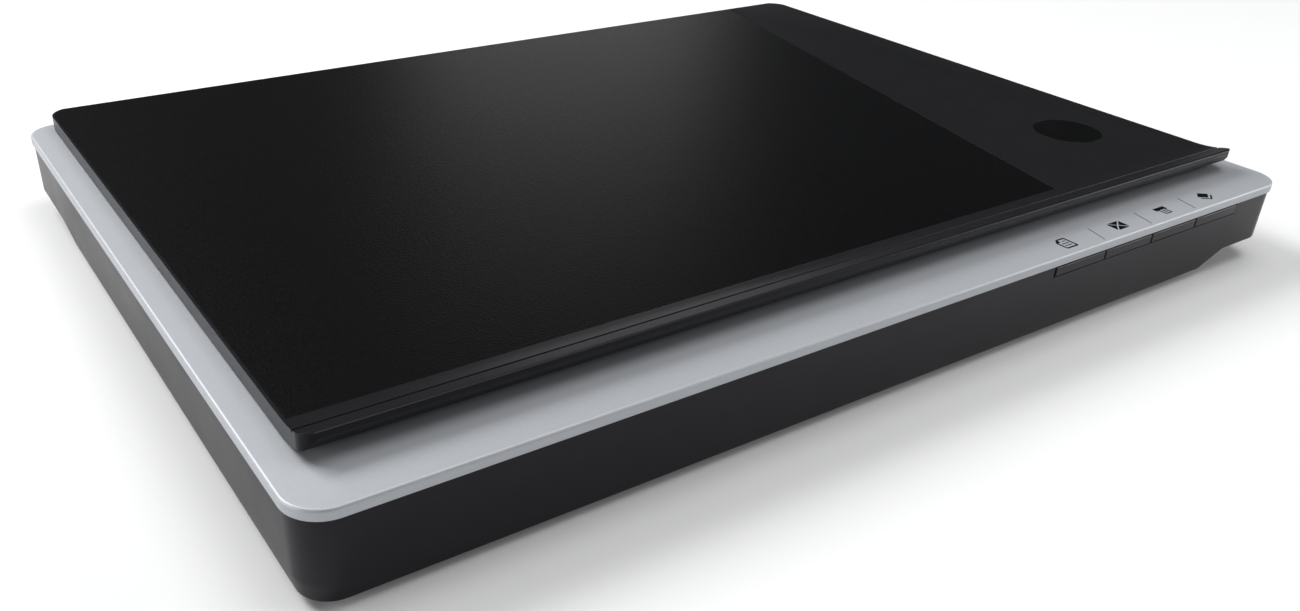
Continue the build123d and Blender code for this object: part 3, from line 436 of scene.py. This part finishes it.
# ================================================================ lid
def lid_moulding():
    """The lid's black cover: its lip is drawn into a shallow hollow, with a shadow line cut in."""
    lip_rise = 2.6 * MM
    hollow = 0.42 * MM
    bands = 5
    start = panel_front - 0.3 * MM
    tip = lid_low.y + 1.0 * MM
    groove = lid_low.y + 6.6 * MM
    groove_half = 0.22 * MM
    groove_widening = 0.16 * MM
    groove_deepening = 0.5 * MM
    flat_top = lid_high.z - lip_rise
    skin_depth = 0.2 * MM
    bm = skin_of("lid_cover")
    stops = [start + (groove + groove_half - start) * band / bands for band in range(bands)]
    stops += [tip + (groove - groove_half - tip) * band / bands for band in range(bands)]
    for stop in stops:
        bmesh.ops.bisect_plane(bm, geom=bm.verts[:] + bm.edges[:] + bm.faces[:], dist=1e-7,
                               plane_co=(0, stop, 0), plane_no=(0, 1, 0))
    for vert in bm.verts:
        along = (vert.co.y - start) / (tip - start)
        if 0 < along < 1 and vert.co.z > flat_top - skin_depth:
            vert.co.z -= hollow * math.sin(math.pi * along)
            # The groove's floor goes deeper, and its two edges move apart.
            aside = vert.co.y - groove
            if abs(aside) < groove_half / 2:
                vert.co.z -= groove_deepening
            elif abs(aside) < 1.1 * groove_half:
                vert.co.y += math.copysign(groove_widening, aside)
    finished("lid_moulding", bm, "lid", satin_black, ("lid_cover",), 0.35 * MM)


lid_moulding()
moulded_copy("grained_panel", "textured_panel", "lid", grained, 0.10 * MM)
moulded_copy("plain_badge", "badge_disc", "lid", gloss_black, 0.15 * MM)
moulded_copy("lid_inner_panel", "lid_liner", "lid", liner_white, 0.25 * MM)
for side in ("left", "right"):
    moulded_copy("steel_arm_" + side, "hinge_arm_" + side, "lid", zinc_steel,
                 0.12 * MM)
    moulded_copy("post_" + side, "hinge_post_" + side, "hinge_posts", frame_black,
                 0.25 * MM)


def foam_pad():
    """The soft pad: square-cut foam with worn corners."""
    bm = slab(*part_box("lid_foam"))
    round_corners(bm, 2.5 * MM)
    pad = finished("foam_pad", bm, "lid", foam_white, ("lid_foam",), 0.4 * MM, 3)


def backing_sheet():
    """The white film that faces the document, with rounded corners."""
    bm = slab(*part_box("lid_sheet"))
    round_corners(bm, 2.0 * MM)
    finished("backing_sheet", bm, "lid", strip_white, ("lid_sheet",), 0.06 * MM, 2)


foam_pad()
backing_sheet()

# ================================================================ base
moulded_copy("silver_top", "top_bezel", "scanner_base", silver, 0.30 * MM)
moulded_copy("tray_moulding", "base_shell", "scanner_base", tray_black, 0.35 * MM)
for key_name in ("document_key", "mail_key", "copy_key", "photo_key"):
    moulded_copy(key_name + "_cap", key_name, key_name, key_black, 0.20 * MM)
moulded_copy("port_shell", "usb_port", "scanner_base", tinned_metal, 0.20 * MM)


def port_contacts():
    """Gold contacts on the port's tongue, two above and two below."""
    middle = (port_low + port_high) / 2
    half_pitch = 1.25 * MM
    half_width = 0.5 * MM
    inner_end = port_high.y - 10.2 * MM
    outer_end = port_high.y - 5.3 * MM
    tongue_faces = ((1.0 * MM, 1.08 * MM), (-1.48 * MM, -1.4 * MM))
    bars = []
    for x in (middle.x - half_pitch, middle.x + half_pitch):
        for low, high in tongue_faces:
            bars.append(slab(Vector((x - half_width, inner_end, middle.z + low)),
                             Vector((x + half_width, outer_end, middle.z + high))))
    finished("port_contacts", merged(bars), "scanner_base", gold_plate)


def feet():
    """Four round rubber feet, each with a shallow dish in its sole."""
    foot_radius = 8.0
    foot_inset = 8.0 * MM
    low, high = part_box("rubber_feet")
    top = high.z / MM
    profile = [(0, 0.35), (4.6, 0.35), (5.2, 0.10), (5.8, 0.0), (7.0, 0.0), (7.55, 0.15),
               (7.9, 0.5), (foot_radius, 1.0), (foot_radius, top), (0, top)]
    rounds = [turned(profile, x, y) for x in (low.x + foot_inset, high.x - foot_inset)
              for y in (low.y + foot_inset, high.y - foot_inset)]
    finished("foot_pads", merged(rounds), "scanner_base", rubber, ("rubber_feet",))


port_contacts()
feet()


# ---------------------------------------------------------------- printed marks
ink_low = bezel_top
ink_high = bezel_top + 0.03 * MM
mark_y = -136.6 * MM
line_width = 0.7 * MM
fine_line = 0.4 * MM
sheet_line = 0.5 * MM
print_line = 0.6 * MM
page_x, envelope_x, copier_x, picture_x = 74.5 * MM, 103.5 * MM, 129.9 * MM, 155.8 * MM
divider_places = (91.7 * MM, 118.2 * MM, 144.7 * MM)
divider_back = -132.8 * MM
divider_front = -141.5 * MM
divider_lean = 2.5 * MM
divider_width = 0.28 * MM


def placed(x, y, points):
    """Points of a mark in millimetres, moved to its place in plan."""
    return [(x + px * MM, y + py * MM) for px, py in points]


def outline(x, y, points, width=line_width):
    """A closed printed outline."""
    corners = placed(x, y, points)
    return [stroke(start, end, width, ink_low, ink_high)
            for start, end in zip(corners, corners[1:] + corners[:1])]


def filled(x, y, points):
    """A solid printed shape."""
    return plate_of(placed(x, y, points), ink_low, ink_high)


def rules(x, y, spans):
    """Fine printed rules from (x0, x1, y) spans."""
    lines = []
    for x0, x1, rule_y in spans:
        start, end = placed(x, y, [(x0, rule_y), (x1, rule_y)])
        lines.append(stroke(start, end, fine_line, ink_low, ink_high))
    return lines


def page_mark(x, y):
    """A page with a folded corner and three lines."""
    return (outline(x, y, [(-0.9, 2.9), (2.7, 2.9), (2.7, -2.9), (-2.7, -2.9), (-2.7, 1.2)])
            + [filled(x, y, [(-2.7, 1.2), (-0.9, 1.2), (-0.9, 2.9)])]
            + rules(x, y, [(0.2, 1.7, 1.4), (-1.7, 1.7, 0.0), (-1.7, 1.7, -1.4)]))


def envelope_mark(x, y):
    """A closed envelope: four dark flaps with light folds between them."""
    half, tall, fold, seal = 3.3, 2.6, 0.26, 0.2
    return [filled(x, y, [(-half + 2 * fold, tall), (half - 2 * fold, tall), (0, seal + fold)]),
            filled(x, y, [(-half + 2 * fold, -tall), (half - 2 * fold, -tall), (0, seal - fold)]),
            filled(x, y, [(-half, tall - fold), (-half, -tall + fold), (-2 * fold, seal)]),
            filled(x, y, [(half, tall - fold), (half, -tall + fold), (2 * fold, seal)])]


def copier_mark(x, y):
    """A machine with a lined sheet coming out."""
    return ([filled(x, y, [(-3.0, 2.4), (3.0, 2.4), (3.0, 0.3), (2.1, 0.3), (2.1, 1.0), (-2.1, 1.0),
                           (-2.1, 0.3), (-3.0, 0.3)])]
            + outline(x, y, [(-1.7, 0.8), (1.7, 0.8), (1.7, -2.4), (-1.7, -2.4)], sheet_line)
            + rules(x, y, [(-1.1, 1.1, -0.3), (-1.1, 1.1, -1.3)]))


def picture_mark(x, y):
    """A pile of prints, the top one dark."""
    return ([filled(x, y, [(-3.1, 0.8), (0, 3.1), (3.1, 0.8), (0, -1.5)])]
            + [stroke(*placed(x, y, pair), print_line, ink_low, ink_high)
               for pair in (((-3.1, -0.5), (0, -2.8)), ((0, -2.8), (3.1, -0.5)))])


def printed_marks():
    """The key symbols and the thin rules between them."""
    marks = (page_mark(page_x, mark_y) + envelope_mark(envelope_x, mark_y)
             + copier_mark(copier_x, mark_y) + picture_mark(picture_x, mark_y))
    finished("key_symbols", merged(marks), "scanner_base", ink)
    dividers = [stroke((x, divider_back), (x - divider_lean, divider_front), divider_width,
                       ink_low, ink_high) for x in divider_places]
    finished("key_dividers", merged(dividers), "scanner_base", ink)


printed_marks()


# ================================================================ carriage, sensor bar and ribbon
moulded_copy("carriage_moulding", "scan_carriage", "carriage", frame_black,
             0.25 * MM)
moulded_copy("sensor_case", "sensor_housing", "sensor_bar", frame_black, 0.20 * MM)


def leaf_springs():
    """The bowed leaves under the sensor bar, riding on the carriage."""
    leaves = moulded_copy("leaf_springs", "sensor_springs", "carriage", spring_steel,
                          0.0)
    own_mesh(leaves)


def ribbon():
    """The flat ribbon: its lower run stays in place by the board and its upper run rides on the
    carriage.
    """
    thick = 0.3 * MM
    loop_radius = 3.1 * MM
    run_step = 5 * MM
    loop_steps = 12
    rise_gap = 2.4 * MM
    carriage_gap = 4 * MM
    rise_x = board_end - rise_gap + thick / 2
    end_x = home_line - carriage_gap - thick / 2
    end_z = 13.1 * MM
    low = ribbon_low.z + thick / 2
    loop_x = ribbon_low.x + loop_radius
    turn = loop_radius - thick / 2
    top = low + 2 * turn
    lead_z = ribbon_high.z - thick / 2
    steps = round((rise_x - loop_x) / run_step)
    angles = [math.pi * step / loop_steps for step in range(1, loop_steps + 1)]
    lower = [(ribbon_high.x, lead_z), (rise_x + thick, lead_z), (rise_x, lead_z - thick),
             (rise_x, low + thick)]
    lower += [(rise_x - thick + (loop_x - rise_x + thick) * step / steps, low)
              for step in range(steps + 1)]
    lower += [(loop_x - turn * math.sin(angle), low + turn - turn * math.cos(angle))
              for angle in angles]
    upper = [(loop_x + (end_x - thick - loop_x) * step / steps, top) for step in range(steps + 1)]
    upper += [(end_x, top + thick), (end_x, end_z)]
    lower_run = finished("ribbon_lower_run", strip(lower, ribbon_low.y, ribbon_high.y, thick),
                         None, ribbon_white, ("flex_cable",))
    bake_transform(lower_run)
    upper_run = finished("ribbon_upper_run", strip(upper, ribbon_low.y, ribbon_high.y, thick),
                         "carriage", ribbon_white, ("flex_cable",))
    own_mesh(upper_run)


leaf_springs()
ribbon()

# ================================================================ nodes that stay as built
built_nodes = {
    platen_clear: ("glass_platen",),
    sensor_clear: ("sensor_window",),
    light_acrylic: ("light_guide", "rod_lens"),
    tape_black: ("glass_tape",),
    strip_white: ("calibration_strip",),
    rubber: ("lid_bumpers",),
    zinc_steel: ("case_screws", "board_screws", "lid_screws", "shaft_clips", "motor_bracket"),
    polished_steel: ("guide_shaft", "gear_axles", "hinge_pins"),
    motor_steel: ("motor_can",),
    spring_steel: ("tensioner_spring",),
    brass: ("motor_pinion",),
    bronze: ("shaft_bushes",),
    acetal: ("drive_pulley", "drive_gear", "idler_pulley", "reduction_gear", "rear_glide",
             "glass_spacers"),
    board_green: ("main_board", "button_board", "sensor_board"),
    chip_black: ("board_components", "tact_switches"),
    frame_black: ("belt_clamp", "belt_tensioner"),
    belt_rubber: ("timing_belt",),
}
for finish, names in built_nodes.items():
    for name in names:
        for material_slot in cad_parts[name].material_slots:
            material_slot.material = finish


# ================================================================ stage, light and camera
def studio_floor():
    """A wide pale sheet under the scanner."""
    finish, nodes, links, shader, place = new_finish("pale floor")
    links.new(tint(nodes, links, noise(nodes, links, place, 0.4), (0.81, 0.81, 0.81),
                   (0.83, 0.83, 0.83)), shader.inputs["Base Color"])
    shader.inputs["Roughness"].default_value = 0.9
    shader.inputs["Specular IOR Level"].default_value = 0.1
    bm = bmesh.new()
    bmesh.ops.create_grid(bm, x_segments=1, y_segments=1, size=6.0)
    mesh = bpy.data.meshes.new("studio_floor")
    bm.to_mesh(mesh)
    bm.free()
    mesh.materials.append(finish)
    floor = bpy.data.objects.new("studio_floor", mesh)
    bpy.context.scene.collection.objects.link(floor)


def softbox(name, place, target, width, height, power):
    """A large soft lamp that faces the target."""
    lamp = bpy.data.lights.new(name, "AREA")
    lamp.shape = "RECTANGLE"
    lamp.size = width
    lamp.size_y = height
    lamp.energy = power
    light = bpy.data.objects.new(name, lamp)
    light.location = place
    light.rotation_euler = (Vector(target) - Vector(place)).to_track_quat("-Z", "Y").to_euler()
    bpy.context.scene.collection.objects.link(light)


def studio_camera():
    """The view from the front left, close and from above."""
    lens = bpy.data.cameras.new("camera")
    lens.sensor_width = 36.0
    lens.lens = 32.216
    lens.shift_x = 0.0508
    lens.shift_y = 0.0286
    lens.clip_start = 0.01
    camera = bpy.data.objects.new("camera", lens)
    place = Vector((-0.25951, -0.34199, 0.19424))
    tilt, roll, heading = math.radians(59.8761), math.radians(-1.579), math.radians(-33.304)
    camera.matrix_world = Matrix.LocRotScale(place, Euler((tilt, roll, heading)), None)
    bpy.context.scene.collection.objects.link(camera)
    bpy.context.scene.camera = camera


studio_floor()
softbox("key softbox", (-0.7, 1.0, 1.2), (0, 0, 0), 0.9, 0.9, 29)
softbox("left softbox", (-1.5, 0.1, 0.35), (0, 0, 0), 1.2, 0.6, 8)
softbox("overhead", (0.3, -0.15, 1.4), (0, 0, 0), 1.0, 1.0, 11)
softbox("rear sheen", (1.0, 1.62, 0.42), (0.1, 0.14, 0.04), 0.6, 0.3, 1.0)
softbox("right fill", (1.5, -0.9, 0.6), (0, 0, 0), 0.8, 0.8, 15)
world = bpy.data.worlds.new("studio")
world.use_nodes = True
world.node_tree.nodes["Background"].inputs["Color"].default_value = (0.9, 0.95, 1.0, 1)
world.node_tree.nodes["Background"].inputs["Strength"].default_value = 0.06
bpy.context.scene.world = world
bpy.context.scene.view_settings.view_transform = "Standard"
studio_camera()
